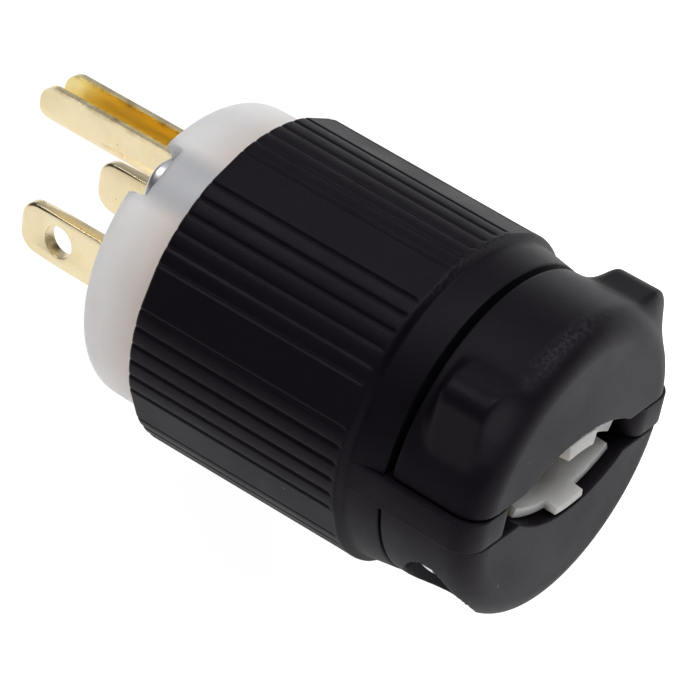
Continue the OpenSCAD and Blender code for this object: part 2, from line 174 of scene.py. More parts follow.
def clear_selection():
    """Goes back to object mode with nothing selected."""
    if bpy.context.object and bpy.context.object.mode != "OBJECT":
        bpy.ops.object.mode_set(mode="OBJECT")
    bpy.ops.object.select_all(action="DESELECT")


def reckon(tree, how, *values, **settings):
    """One step of arithmetic with sockets and numbers."""
    return add(tree, "ShaderNodeMath", dict(enumerate(values)), operation=how, **settings).outputs[0]


clear_selection()
bpy.ops.mesh.primitive_plane_add(size=TABLE_SIZE, location=(0, 0, cad_low.z - TABLE_GAP))
floor = bpy.context.object
floor.name = "floor"
paint = bpy.data.materials.new("pale_table")
paint.use_nodes = True
tree = paint.node_tree
tree.nodes.clear()
path = add(tree, "ShaderNodeLightPath").outputs
mirror = reckon(tree, "MAXIMUM", path["Is Glossy Ray"], path["Is Transmission Ray"])
mirror_share = reckon(tree, "MULTIPLY", mirror, MIRROR_SHARE)
share = reckon(tree, "MULTIPLY_ADD", path["Is Camera Ray"], EYE_SHARE, mirror_share)
place = add(tree, "ShaderNodeTexCoord").outputs["Object"]
behind = along(tree, place, GLOW_WAY)
strength = ramp(tree, behind, 0.0, GLOW_RUN, NEAR_GLOW, FAR_GLOW, "SMOOTHSTEP")
matt = add(tree, "ShaderNodeBsdfDiffuse", {"Color": (0.9, 0.9, 0.9, 1)})
glow = add(tree, "ShaderNodeEmission", {"Color": (1, 1, 1, 1), "Strength": strength})
surface = mix_shaders(tree, share, matt.outputs[0], glow.outputs[0])
add(tree, "ShaderNodeOutputMaterial", {"Surface": surface})
floor.data.materials.append(paint)
floor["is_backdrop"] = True
print("table at", round(cad_low.z - TABLE_GAP, 5), "m")

# %% [markdown]
# Three soft lamps light the plug. A broad one hangs over the far side behind it, a smaller
# one stands high in front and gives the sheen on the ribs, and a warm fill lifts the near
# side. The fill is hidden from mirrors, or it would grey the sides that stay black.

# %% Studio: the lamps


def softbox(name, place, aim, size, watts):
    """A square lamp that looks at a point."""
    lamp = bpy.data.lights.new(name, "AREA")
    lamp.shape = "SQUARE"
    lamp.size = size
    lamp.energy = watts
    holder = bpy.data.objects.new(name, lamp)
    scene.collection.objects.link(holder)
    holder.location = place
    holder.rotation_euler = (Vector(aim) - Vector(place)).to_track_quat("-Z", "Y").to_euler()
    return holder


softbox("overhead", (-0.30, -0.42, 0.86), aim=(-0.01, 0, 0), size=0.6, watts=5.3)
softbox("front_window", (0.45, -0.12, 0.88), aim=(0, 0, 0), size=0.34, watts=2.7)
fill = softbox("fill", (-0.10, 0.90, 0.45), aim=(-0.01, 0, 0), size=0.7, watts=4.2)
fill.data.color = (1.0, 0.95, 0.91)
fill.visible_glossy = False

# %% [markdown]
# The finishes share a few effects, so each effect is a shader group that reads a place on
# the piece. The mould grain is the fine skin of spark-eroded steel, printed into plastic:
# a fine noise with a little of a broader one, which also mottles the colour.

# %% Effect: mould grain
BROAD_SCALE, BROAD_SHARE = 0.22, 0.2


def shader_group(name, inputs, *outputs):
    """An empty group with a place and numbers going in, and numbers coming out."""
    group = bpy.data.node_groups.new(name, "ShaderNodeTree")
    group.interface.new_socket("Vector", in_out="INPUT", socket_type="NodeSocketVector")
    for title, value in inputs.items():
        socket = group.interface.new_socket(title, in_out="INPUT", socket_type="NodeSocketFloat")
        socket.default_value = value
    for title in outputs:
        group.interface.new_socket(title, in_out="OUTPUT", socket_type="NodeSocketFloat")
    return group, add(group, "NodeGroupInput").outputs, add(group, "NodeGroupOutput")


def noise(tree, where, scale, detail, roughness=0.5):
    """A cloudy noise over the surface."""
    look = {"Vector": where, "Scale": scale, "Detail": detail, "Roughness": roughness}
    return add(tree, "ShaderNodeTexNoise", look).outputs["Fac"]


grain, given, result = shader_group("mould_grain", {"Scale": 5000.0}, "Height", "Mottle")
fine = noise(grain, given["Vector"], given["Scale"], detail=3.0, roughness=0.6)
broad_scale = reckon(grain, "MULTIPLY", given["Scale"], BROAD_SCALE)
broad = noise(grain, given["Vector"], broad_scale, detail=2.0)
height = reckon(grain, "MULTIPLY_ADD", broad, BROAD_SHARE, fine)
feed(grain, result, {"Height": height, "Mottle": broad})
print("mould grain:", len(grain.nodes), "nodes")

# %% [markdown]
# Dust is a scatter of tiny pale specks. A Voronoi texture deals one point to each cell, and
# each cell's random colour decides whether its point shows and how large it is.

# %% Effect: dust specks
dust, given, result = shader_group("dust_specks", {"Scale": 400.0, "Size": 0.05, "Share": 0.3}, "Mask")
cells = add(dust, "ShaderNodeTexVoronoi", {"Vector": given["Vector"], "Scale": given["Scale"]}).outputs
chance = add(dust, "ShaderNodeSeparateColor", {0: cells["Color"]}).outputs
kept = reckon(dust, "LESS_THAN", chance[0], given["Share"])
reach = reckon(dust, "MULTIPLY", chance[1], given["Size"])
close = reckon(dust, "LESS_THAN", cells["Distance"], reach)
feed(dust, result, {"Mask": reckon(dust, "MULTIPLY", close, kept)})
print("dust specks:", len(dust.nodes), "nodes")

# %% [markdown]
# Handling is the slow, cloudy change that fingers leave on any surface. It moves between
# two values, so it can serve as a roughness, as a share of a colour or as tarnish.

# %% Effect: handling
CLOUD_RANGE = (0.3, 0.7)
handling, given, result = shader_group("handling", {"Scale": 90.0, "Low": 0.4, "High": 0.6}, "Value")
cloud = noise(handling, given["Vector"], given["Scale"], detail=5.0, roughness=0.62)
level = ramp(handling, cloud, *CLOUD_RANGE, given["Low"], given["High"])
feed(handling, result, {"Value": level})
print("handling:", len(handling.nodes), "nodes")

# %% [markdown]
# A scuffed edge is a pale band across the plug: partly scuffs where tables and tools have scraped what
# stands up highest, partly a painted highlight on the upper, far side, where the lamps are. Four masks
# are multiplied: the band itself, the upper side, the far side and a scratchy noise that breaks it up.

# %% Effect: scuffed edge and painted highlight
UPPER_FADE, FAR_FADE = (0.0130, 0.0168), (0.0045, 0.0)
SCRATCH_SCALE, SCRATCH_RANGE = 2300.0, (0.45, 0.72)
scuff_and_highlight, given, result = shader_group("scuff_and_highlight_edge", {"Place": 0.0, "Reach": 0.001}, "Mask")
axes = add(scuff_and_highlight, "ShaderNodeSeparateXYZ", {0: given["Vector"]}).outputs
away = reckon(scuff_and_highlight, "SUBTRACT", axes["X"], given["Place"])
mask = ramp(scuff_and_highlight, reckon(scuff_and_highlight, "ABSOLUTE", away), given["Reach"], 0.0)
# The upper and far sides face the lamps, so the band there is partly a painted highlight.
upper_side = ramp(scuff_and_highlight, axes["Z"], *UPPER_FADE)
far_side = ramp(scuff_and_highlight, axes["Y"], *FAR_FADE)
scratches = noise(scuff_and_highlight, given["Vector"], SCRATCH_SCALE, detail=6.0, roughness=0.72)
for part in (upper_side, far_side, ramp(scuff_and_highlight, scratches, *SCRATCH_RANGE)):
    mask = reckon(scuff_and_highlight, "MULTIPLY", mask, part)
feed(scuff_and_highlight, result, {"Mask": mask})
print("rubbed edge:", len(scuff_and_highlight.nodes), "nodes")

# %% [markdown]
# Black glass-filled nylon: nearly black with a hint of violet, matt, with the grain of the mould, a
# little dust, and pale bands on the shell's step and on the clamp's shoulder, partly scuffs and partly
# painted highlight. The Specular level is low and tinted, because a plain one would grey the whole
# plug.

# %% Finish: black nylon
SHELL_STEP, CLAMP_SHOULDER = -0.0367, -0.0504
BLACK_LOW, BLACK_HIGH = (0.0028, 0.0021, 0.0040, 1), (0.0046, 0.0036, 0.0062, 1)
# The pale band colour is partly wear and partly a painted highlight.
SCUFF_AND_HIGHLIGHT_COLOUR, DUST_COLOUR = (0.042, 0.040, 0.047, 1), (0.08, 0.08, 0.09, 1)


def new_finish(name):
    """A material with just a shader, an output and the piece's own coordinates."""
    finish = bpy.data.materials.new(name)
    finish.use_nodes = True
    tree = finish.node_tree
    tree.nodes.clear()
    shader = add(tree, "ShaderNodeBsdfPrincipled")
    add(tree, "ShaderNodeOutputMaterial", {"Surface": shader.outputs[0]})
    return finish, tree, shader, add(tree, "ShaderNodeTexCoord").outputs["Object"]


def effect(tree, group, where, **values):
    """The outputs of a shader group that is placed in a finish with its own values."""
    return add(tree, "ShaderNodeGroup", {"Vector": where, **values}, node_tree=group).outputs


def blend(tree, share, first, second):
    """A colour between two others."""
    return add(tree, "ShaderNodeMix", {0: share, 6: first, 7: second}, data_type="RGBA").outputs[2]


def raised(tree, height, strength, distance):
    """A normal that follows a height."""
    look = {"Height": height, "Strength": strength, "Distance": distance}
    return add(tree, "ShaderNodeBump", look).outputs[0]


black_nylon, tree, shader, where = new_finish("black_nylon")
skin = effect(tree, grain, where, Scale=5600.0)
specks = effect(tree, dust, where, Scale=360.0, Size=0.07, Share=0.35)["Mask"]
smear = effect(tree, handling, where, Scale=70.0, Low=0.44, High=0.58)["Value"]
# Pale bands on the shell's step and the clamp's shoulder: part scuffs, part painted highlight.
step_scuff_and_highlight = effect(tree, scuff_and_highlight, where, Place=SHELL_STEP, Reach=0.0005)["Mask"]
shoulder_scuff_and_highlight = effect(tree, scuff_and_highlight, where, Place=CLAMP_SHOULDER, Reach=0.0014)["Mask"]
scuffs_and_highlights = reckon(tree, "MAXIMUM", step_scuff_and_highlight, shoulder_scuff_and_highlight)
scuffed_and_lit = blend(tree, scuffs_and_highlights, blend(tree, skin["Mottle"], BLACK_LOW, BLACK_HIGH), SCUFF_AND_HIGHLIGHT_COLOUR)
feed(tree, shader, {
    "Base Color": blend(tree, specks, scuffed_and_lit, DUST_COLOUR),
    "Roughness": smear,
    "Normal": raised(tree, skin["Height"], strength=0.5, distance=0.00006),
    "Specular IOR Level": 0.155,
    "Specular Tint": (0.94, 0.83, 1.0, 1),
})
print("black nylon:", len(tree.nodes), "nodes")

# %% [markdown]
# White nylon lets light in: a thick wall glows softly and its edges never go quite dark.
# Subsurface scattering gives that. Shade is painted into the face's colour as well: it turns warm and
# darker towards the shell, and cool grey over the hole of each long screw.
# The grips for the cord are of the same plastic, painted greyer for the shade that falls on them inside
# the arches.

# %% Finish: white nylon
LONG_C, LONG_TURN = 14.3, 57
# Painted shade: darker and warm towards the shell, cool grey over each long screw's hole.
RIM_SHADE_TINT, HOLE_SHADE_TINT = (0.66, 0.575, 0.53, 1), (0.44, 0.45, 0.48, 1)
RIM_SHADE_FADE, HOLE_SHADE_FADE = (-0.0035, -0.0095), (0.0054, 0.0038)


def face_painted_shade(tree, where, milk):
    """The face's white with painted shade: warm and darker towards the shell's rim, cool grey over the
    screws behind its wall.
    """
    spin = (-ROLL - math.radians(LONG_TURN), 0, 0)
    turned = add(tree, "ShaderNodeMapping", {"Vector": where, "Rotation": spin}).outputs[0]
    axes = add(tree, "ShaderNodeSeparateXYZ", {0: turned}).outputs
    warm = blend(tree, ramp(tree, axes["X"], *RIM_SHADE_FADE), milk, RIM_SHADE_TINT)
    past = reckon(tree, "SUBTRACT", reckon(tree, "ABSOLUTE", axes["Y"]), LONG_C * MM)
    offset = add(tree, "ShaderNodeCombineXYZ", {"Y": past, "Z": axes["Z"]}).outputs[0]
    gap = add(tree, "ShaderNodeVectorMath", {0: offset}, operation="LENGTH").outputs["Value"]
    return blend(tree, ramp(tree, gap, *HOLE_SHADE_FADE, kind="SMOOTHSTEP"), warm, HOLE_SHADE_TINT)


def milky(name, dull, clear, with_painted_shade=False):
    """White nylon between two tones, with or without the face's painted shade."""
    finish, tree, shader, where = new_finish(name)
    skin = effect(tree, grain, where, Scale=1500.0)
    smear = effect(tree, handling, where, Scale=55.0, Low=0.30, High=0.44)["Value"]
    cloudy = effect(tree, handling, where, Scale=120.0, Low=0.0, High=1.0)["Value"]
    milk = blend(tree, cloudy, dull, clear)
    feed(tree, shader, {
        "Base Color": face_painted_shade(tree, where, milk) if with_painted_shade else milk,
        "Roughness": smear,
        "Normal": raised(tree, skin["Height"], strength=0.12, distance=0.00003),
        "Subsurface Weight": 0.6,
        "Subsurface Radius": (1.0, 0.75, 0.6),
        "Subsurface Scale": 0.003,
        "Specular IOR Level": 0.4,
    })
    print(f"{name}:", len(tree.nodes), "nodes")
    return finish


white_nylon = milky("white_nylon", (0.74, 0.735, 0.73, 1), (0.80, 0.80, 0.81, 1), with_painted_shade=True)
# Painted shade: the grips' copy of the white is greyer, for the shadow of the arches.
shaded_grip_nylon = milky("shaded_grip_nylon", (0.58, 0.575, 0.56, 1), (0.65, 0.645, 0.635, 1))

# %% [markdown]
# Brass blades are stamped from rolled strip: a fine grain along the strip, a slightly cloudy polish,
# small dark spots, and brown blotches on the pin's upper edges, where the skin has started to tarnish.
# No socket wears the inside of the folded pin, so the metal there stays dull. Its amber floor under
# paler walls is painted reflection: the deeper gold of light bounced between the walls.

# %% Finish: brass
GOLD_BRIGHT, GOLD_DULL = (0.915, 0.795, 0.54, 1), (0.87, 0.72, 0.44, 1)
TROUGH_FLOOR_BOUNCE, TROUGH_WALL_BOUNCE = (0.95, 0.67, 0.14, 1), (1.0, 0.86, 0.40, 1)
TARNISH = (0.34, 0.24, 0.10, 1)
ACROSS_FADE, FLOOR_FADE = (0.0020, 0.0017), (0.0067, 0.0070)
WALL_FADE, EDGE_FADE = (0.0076, 0.0104), (0.0111, 0.0116)
SPOT_SHARE, INSIDE_DULL = 0.45, 0.11
brass, tree, shader, where = new_finish("brass")
strip = add(tree, "ShaderNodeMapping", {"Vector": where, "Scale": (0.06, 1.0, 1.0)}).outputs[0]
rolled = noise(tree, strip, 5200.0, detail=3.0)
smear = effect(tree, handling, where, Scale=160.0, Low=0.20, High=0.36)["Value"]
polish = effect(tree, handling, where, Scale=210.0, Low=0.0, High=1.0)["Value"]
spots = effect(tree, dust, where, Scale=900.0, Size=0.15, Share=0.3)["Mask"]
blotch = effect(tree, handling, where, Scale=330.0, Low=-0.5, High=0.9)["Value"]
plumb = add(tree, "ShaderNodeMapping", {"Vector": where, "Rotation": (-ROLL, 0, 0)}).outputs[0]
axes = add(tree, "ShaderNodeSeparateXYZ", {0: plumb}).outputs
between_walls = ramp(tree, reckon(tree, "ABSOLUTE", axes["Y"]), *ACROSS_FADE)
inside = reckon(tree, "MULTIPLY", between_walls, ramp(tree, axes["Z"], *FLOOR_FADE))
# Painted reflection: the amber floor and paler walls stand for light bounced between the trough's
# walls.
trough = blend(tree, ramp(tree, axes["Z"], *WALL_FADE), TROUGH_FLOOR_BOUNCE, TROUGH_WALL_BOUNCE)
polish_and_bounce = blend(tree, inside, blend(tree, polish, GOLD_BRIGHT, GOLD_DULL), trough)
upper_edge = ramp(tree, axes["Z"], *EDGE_FADE)
brown = reckon(tree, "MULTIPLY", upper_edge, blotch, use_clamp=True)
marks = reckon(tree, "MAXIMUM", reckon(tree, "MULTIPLY", spots, SPOT_SHARE), brown)
feed(tree, shader, {
    "Base Color": blend(tree, marks, polish_and_bounce, TARNISH),
    "Roughness": reckon(tree, "MULTIPLY_ADD", inside, INSIDE_DULL, smear),
    "Normal": raised(tree, rolled, strength=0.15, distance=0.00002),
    "Metallic": 1.0,
})
print("brass:", len(tree.nodes), "nodes")

# %% [markdown]
# The screws are zinc-plated steel: bright, a little uneven, with darker patches. Two clouds
# of handling at different scales give the polish and the colour.

# %% Finish: plated steel
ZINC_BRIGHT, ZINC_DULL = (0.88, 0.89, 0.91, 1), (0.70, 0.71, 0.73, 1)
steel, tree, shader, where = new_finish("plated_steel")
smear = effect(tree, handling, where, Scale=300.0, Low=0.28, High=0.50)["Value"]
patches = effect(tree, handling, where, Scale=700.0, Low=0.0, High=1.0)["Value"]
zinc = blend(tree, patches, ZINC_BRIGHT, ZINC_DULL)
feed(tree, shader, {"Base Color": zinc, "Roughness": smear, "Metallic": 1.0})
print("plated steel:", len(tree.nodes), "nodes")

# %% [markdown]
# The shell is a moulded sleeve. Grooves run along it in eight groups of six, and a smooth
# panel lies flat between two groups. It could be cut with rods, as the solid is, but the
# ribs then have knife edges. Here a formula gives the soft outline instead: how far the
# panels, the crowned ribs and the grooves lie inside a plain circle, at any angle.

# %% Shell: the ribbed outline
SHELL_R = 19.7
SECTOR, GROUP_HALF, PITCH = 45, 15, 6
CROWN, GROOVE_DEEP, GROOVE_HALF = 0.08, 0.12, 0.36


def group_turn(angle):
    """Degrees from the middle of the nearest group of ribs."""
    return (angle + SECTOR / 2) % SECTOR - SECTOR / 2


def panel_cut(angle, radius):
    """How far a flat panel lies inside a plain circle at an angle in degrees."""
    turn = abs(group_turn(angle))
    if turn <= GROUP_HALF:
        return 0.0
    half = math.radians(SECTOR / 2 - GROUP_HALF)
    return radius * (1 - math.cos(half) / math.cos(math.radians(SECTOR / 2 - turn)))


def groove_cut(angle, radius):
    """How far the crowned ribs and the grooves lie inside a plain circle."""
    turn = group_turn(angle)
    off = min(abs(turn - groove) for groove in range(-GROUP_HALF, GROUP_HALF + 1, PITCH))
    crest = off / (PITCH / 2) if abs(turn) <= GROUP_HALF else min(off, 1.0)
    cut = CROWN * (1 - crest) ** 2
    gap = math.radians(off) * radius
    if gap < GROOVE_HALF:
        cut += GROOVE_DEEP * 0.5 * (1 + math.cos(math.pi * gap / GROOVE_HALF))
    return cut


print("grooves:", 360 // SECTOR * len(range(-GROUP_HALF, GROUP_HALF + 1, PITCH)))

# %% [markdown]
# A list of rings then walks round the sleeve's wall: the rim, along the ribs, over the soft
# step and the neck, and back through the inside. Each ring has a station, a radius and its
# share of the flats and of the ribs, so that the grooves run out at the rim and the step.

# %% Shell: the rings
TAPER, RIM_X, RIB_X, NECK_X = 0.42, -9.2, -36.8, -41.15
RIM_ROUND, NECK_ROUND = 0.45, 0.22
MOUTH_R, INSIDE_R, PASSAGE_R, NECK_R = 17.9, 17.2, 10.2, 17.9
SKIRT_X, REAR_WALL_X = -13.0, -35.3
RIM_RIBS = 0.35
STEP_START, STEP_RUN, STEP_DROP = RIB_X + 1.8, 2.5, 0.86
DROP_FADE, FLAT_FADE, RIB_FADE = (0.6, 0.34), (0.5, 0.4), (0.3, 0.36)
NECK_TAPER = ((RIB_X - 2.0, 18.25), (RIB_X - 3.2, 18.05))
RIM_RINGS, RIB_RINGS, STEP_RINGS, NECK_RINGS = 5, 12, 24, 4


def arc(x, radius, size, first, last, count):
    """Points of a quarter round in station and radius, from one angle to another."""
    for i in range(count + 1):
        a = math.radians(first + (last - first) * i / count)
        yield x + size * math.cos(a), radius + size * math.sin(a)


def soft_step(t):
    """A smooth change from 0 to 1."""
    t = min(max(t, 0.0), 1.0)
    return t * t * (3 - 2 * t)


def fade(way, start, length):
    """A smooth change from 1 to 0 that begins part of the way along."""
    return 1 - soft_step((way - start) / length)


rings = [(RIM_X, MOUTH_R, 0.0, 0.0)]
ribs_start = RIM_X - RIM_ROUND
for i, (x, r) in enumerate(arc(ribs_start, SHELL_R - RIM_ROUND, RIM_ROUND, 0, 90, RIM_RINGS)):
    rings.append((x, r, 1.0, RIM_RIBS + (1 - RIM_RIBS) * i / RIM_RINGS))
for i in range(1, RIB_RINGS + 1):
    way = i / RIB_RINGS
    rings.append((ribs_start - (ribs_start - STEP_START) * way, SHELL_R - TAPER * way, 1.0, 1.0))
for i in range(1, STEP_RINGS + 1):
    way = i / STEP_RINGS
    radius = SHELL_R - TAPER - STEP_DROP * (1 - fade(way, *DROP_FADE))
    rings.append((STEP_START - STEP_RUN * way, radius, fade(way, *FLAT_FADE), fade(way, *RIB_FADE)))
plain_rings = list(NECK_TAPER)
plain_rings += arc(NECK_X + NECK_ROUND, NECK_R - NECK_ROUND, NECK_ROUND, 90, 180, NECK_RINGS)
plain_rings += [(NECK_X, PASSAGE_R), (REAR_WALL_X, PASSAGE_R), (REAR_WALL_X, INSIDE_R)]
plain_rings += [(SKIRT_X, INSIDE_R), (SKIRT_X, MOUTH_R)]
rings += [(x, r, 0.0, 0.0) for x, r in plain_rings]
print("rings:", len(rings))

# %% [markdown]
# A skin can be drawn out as one would by hand: a circle of points is extruded from ring to
# ring, and each new ring is shaped to its outline. These tools do that, and pick parts of a
# mesh by their place, because an operator acts on whatever is selected.

# %% Tools: drawing out a skin


def only(piece):
    """Goes to object mode with just this piece selected and active."""
    clear_selection()
    piece.select_set(True)
    bpy.context.view_layer.objects.active = piece


def middle_of(part):
    """The middle of a vertex, an edge or a face."""
    if hasattr(part, "co"):
        return part.co
    return sum((v.co for v in part.verts), Vector()) / len(part.verts)


def pick(piece, kind, test):
    """Goes to edit mode and selects the parts that pass a test of the part and its middle."""
    only(piece)
    bpy.ops.object.mode_set(mode="EDIT")
    bpy.ops.mesh.select_mode(type=kind)
    bpy.ops.mesh.select_all(action="DESELECT")
    mesh = bmesh.from_edit_mesh(piece.data)
    parts = {"VERT": mesh.verts, "EDGE": mesh.edges, "FACE": mesh.faces}[kind]
    for part in parts:
        if test(part, middle_of(part)):
            part.select_set(True)
    mesh.select_flush_mode()
    bmesh.update_edit_mesh(piece.data)


def upright_circle(points, radius, x=0, z=0, fill="NOTHING"):
    """A circle of points about the X direction."""
    clear_selection()
    bpy.ops.mesh.primitive_circle_add(
        vertices=points, radius=radius, location=(x, 0, z), rotation=(0, math.pi / 2, 0), fill_type=fill
    )
    bpy.ops.object.transform_apply(location=True, rotation=True, scale=True)
    return bpy.context.object


def draw_out(piece, stations, radius_at):
    """Extrudes a circle from station to station, with a radius for each angle."""
    only(piece)
    bpy.ops.object.mode_set(mode="EDIT")
    bpy.ops.mesh.select_mode(type="VERT")
    bpy.ops.mesh.select_all(action="SELECT")
    for i, station in enumerate(stations):
        if i:
            bpy.ops.mesh.extrude_region_move()
        mesh = bmesh.from_edit_mesh(piece.data)
        for v in mesh.verts:
            if v.select:
                angle = math.atan2(v.co.z, v.co.y)
                r = radius_at(station, angle)
                v.co = (station[0], r * math.cos(angle), r * math.sin(angle))
        bmesh.update_edit_mesh(piece.data)


def face_outwards():
    """Turns all faces of the mesh in edit mode outwards."""
    bpy.ops.mesh.select_all(action="SELECT")
    bpy.ops.mesh.normals_make_consistent(inside=False)


print("tools for skins: only, pick, upright_circle, draw_out, face_outwards")

# %% [markdown]
# The sleeve is one such skin, with points close enough for each groove to be round.
# Bridging the last ring to the first closes the wall.

# %% Shell: the sleeve
RING_POINTS = 1200


def shell_radius(ring, angle):
    """Radius of the sleeve on a ring, with the ring's share of the flats and ribs."""
    _, radius, flat, ribbed = ring
    turn = math.degrees(angle)
    return radius - flat * panel_cut(turn, radius) - ribbed * groove_cut(turn, radius)


shell = upright_circle(RING_POINTS, MOUTH_R)
draw_out(shell, rings, shell_radius)
pick(shell, "VERT", lambda v, m: v.is_boundary)
bpy.ops.mesh.bridge_edge_loops()
face_outwards()
print("shell sleeve:", len(rings), "rings of", RING_POINTS)

# %% [markdown]
# The other pieces start as round bars and blocks, added at their size and place. The same
# bars and blocks serve as drills and cutters.

# %% Tools: bars and blocks


def rod(radius, low, high, axis="X", at=(0, 0), vertices=64):
    """A round bar along X, Y or Z between two stations, about a line through at."""
    clear_selection()
    middle = (low + high) / 2
    place, turn = {
        "X": ((middle, *at), (0, math.pi / 2, 0)),
        "Y": ((at[0], middle, at[1]), (math.pi / 2, 0, 0)),
        "Z": ((*at, middle), (0, 0, 0)),
    }[axis]
    bpy.ops.mesh.primitive_cylinder_add(
        vertices=vertices, radius=radius, depth=high - low, location=place, rotation=turn
    )
    bpy.ops.object.transform_apply(location=True, rotation=True, scale=True)
    return bpy.context.object


def brick(low, high):
    """A box between two opposite corners."""
    clear_selection()
    size = [b - a for a, b in zip(low, high)]
    middle = [(a + b) / 2 for a, b in zip(low, high)]
    bpy.ops.mesh.primitive_cube_add(size=1, location=middle)
    bpy.context.object.scale = size
    bpy.ops.object.transform_apply(location=True, rotation=True, scale=True)
    return bpy.context.object


print("tools for solids: rod, brick")

# %% [markdown]
# Modifiers finish the pieces: Boolean joins and cuts them, and Bevel breaks their edges.
# Each is applied at once, so the next step works on the real mesh. Then a piece is rolled
# into place, gets its finish and stands for its solid.

# %% Tools: modifiers and the way into place


def finish_modifier(piece, kind, **values):
    """Adds one modifier, sets its values and applies it."""
    only(piece)
    step = piece.modifiers.new(kind.lower(), kind)
    for key, value in values.items():
        setattr(step, key, value)
    bpy.ops.object.modifier_apply(modifier=step.name)


def combine(piece, tool, how="DIFFERENCE"):
    """Cuts, joins or trims a piece with a tool, and throws the tool away."""
    finish_modifier(piece, "BOOLEAN", operation=how, solver="EXACT", object=tool)
    mesh = tool.data
    bpy.data.objects.remove(tool)
    bpy.data.meshes.remove(mesh)


def soft_edges(piece, width, segments=3, angle=50):
    """Breaks every edge sharper than an angle, as a mould or a press leaves it."""
    finish_modifier(
        piece, "BEVEL", width=width, segments=segments, limit_method="ANGLE",
        angle_limit=math.radians(angle), use_clamp_overlap=True,
    )


def settle(piece, name, finish, slot, *nodes, angle=35):
    """Rolls and shrinks a finished piece into place, and lets it stand for its CAD nodes."""
    only(piece)
    bpy.ops.object.transform_apply(location=True, rotation=True, scale=True)
    piece.rotation_euler = (ROLL, 0, 0)
    piece.scale = (MM, MM, MM)
    bpy.ops.object.transform_apply(location=True, rotation=True, scale=True)
    bpy.ops.object.mode_set(mode="EDIT")
    bpy.ops.mesh.select_all(action="SELECT")
    bpy.ops.mesh.remove_doubles(threshold=1e-6)
    face_outwards()
    bpy.ops.object.mode_set(mode="OBJECT")
    bpy.ops.object.shade_smooth_by_angle(angle=math.radians(angle))
    piece.name = name
    piece.data.name = name
    piece.data.materials.clear()
    piece.data.materials.append(finish)
    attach(piece, "root")
    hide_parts(*nodes)
    piece.data.calc_loop_triangles()
    print(f"{name}: {len(piece.data.loop_triangles)} triangles")


print("tools for finishing: combine, soft_edges, settle")

# %% [markdown]
# Two ears reach back from the neck, one on each side, and the clamp halves close on them.
# An ear is a bar with a large round at its outer rear corner and a rounded inner end. A
# short pillar round the screw's hole thickens it. The second ear is made alike and turned
# over.

# %% Shell: the ears
EAR_Y, EAR_IN, EAR_HALF, REAR_X = 18.35, 10.8, 1.8, -52.7
EAR_SINK, EAR_ROUND, EAR_IN_ROUND, EAR_EDGE = 0.4, 3.0, 2.2, 0.14
SCREW_X, SCREW_Y, SCREW_HOLE_R = -47.0, 12.3, 1.9
PILLAR_R, PILLAR_EDGE, EAR_DRILL = 3.0, 0.22, 3


def upright(edge, x, y):
    """True for an upright edge of a bar at this corner."""
    a, b = (v.co for v in edge.verts)
    return abs(a.x - x) + abs(b.x - x) + abs(a.y - y) + abs(b.y - y) < 0.05 and abs(a.z - b.z) > 1


def turn_over(piece, axis):
    """Mirrors a piece through a plane and turns its faces outwards again."""
    only(piece)
    piece.scale["XYZ".index(axis)] = -1
    bpy.ops.object.transform_apply(scale=True)
    bpy.ops.object.mode_set(mode="EDIT")
    face_outwards()
    bpy.ops.object.mode_set(mode="OBJECT")


def shell_ear():
    """The ear on the near side."""
    ear = brick((REAR_X, EAR_IN, -EAR_HALF), (RIB_X + EAR_SINK, EAR_Y, EAR_HALF))
    pick(ear, "EDGE", lambda e, m: upright(e, REAR_X, EAR_Y))
    bpy.ops.mesh.bevel(offset=EAR_ROUND, segments=12, affect="EDGES")
    pick(ear, "EDGE", lambda e, m: upright(e, REAR_X, EAR_IN))
    bpy.ops.mesh.bevel(offset=EAR_IN_ROUND, segments=9, affect="EDGES")
    soft_edges(ear, EAR_EDGE)
    pillar = rod(PILLAR_R, -EAR_HALF, EAR_HALF, "Z", (SCREW_X, SCREW_Y))
    soft_edges(pillar, PILLAR_EDGE, segments=2)
    combine(ear, pillar, "UNION")
    combine(ear, rod(SCREW_HOLE_R, -EAR_DRILL, EAR_DRILL, "Z", (SCREW_X, SCREW_Y)))
    return ear


combine(shell, shell_ear(), "UNION")
far_ear = shell_ear()
turn_over(far_ear, "Y")
combine(shell, far_ear, "UNION")
settle(shell, "ribbed_shell", black_nylon, "black_nylon", "shell")

# %% [markdown]
# A clamp half is a turned disc with a large round at the rear, sawn off at the parting
# plane. On the upper one two lugs grow out of the round side: their tops are level, their
# outer faces lean, and they sink back into it with soft hollows. Blocks joined to a disc
# would leave creases there, so formulas give how far a lug stands out at each angle, and
# its share of that at each station.

# %% Clamp: the lugs' outline
CLAMP_R, CLAMP_ROUND, UPPER_X = 17.75, 3.0, -41.9
LUG_ROUND, LUG_Y, LUG_Z, LUG_LEAN = 2.6, 13.6, 12.0, math.radians(4)
LUG_HOLLOW, FOOT_HOLLOW = 0.4, 0.12
FOOT_TURN, FOOT_FADE, FOOT_SHORT = 17, 14, 1.1
FRONT_GAP, FRONT_FADE = 0.75, 2.1
REAR_REACH, REAR_FADE, REAR_POWER = 5.1, 2.5, 1.25
TOP_TURN = math.degrees(math.atan2(LUG_Z + LUG_ROUND, LUG_Y))
FLANK_TURN = math.degrees(math.atan2(
    LUG_Z + LUG_ROUND * math.sin(LUG_LEAN), LUG_Y + LUG_ROUND * math.cos(LUG_LEAN)
))


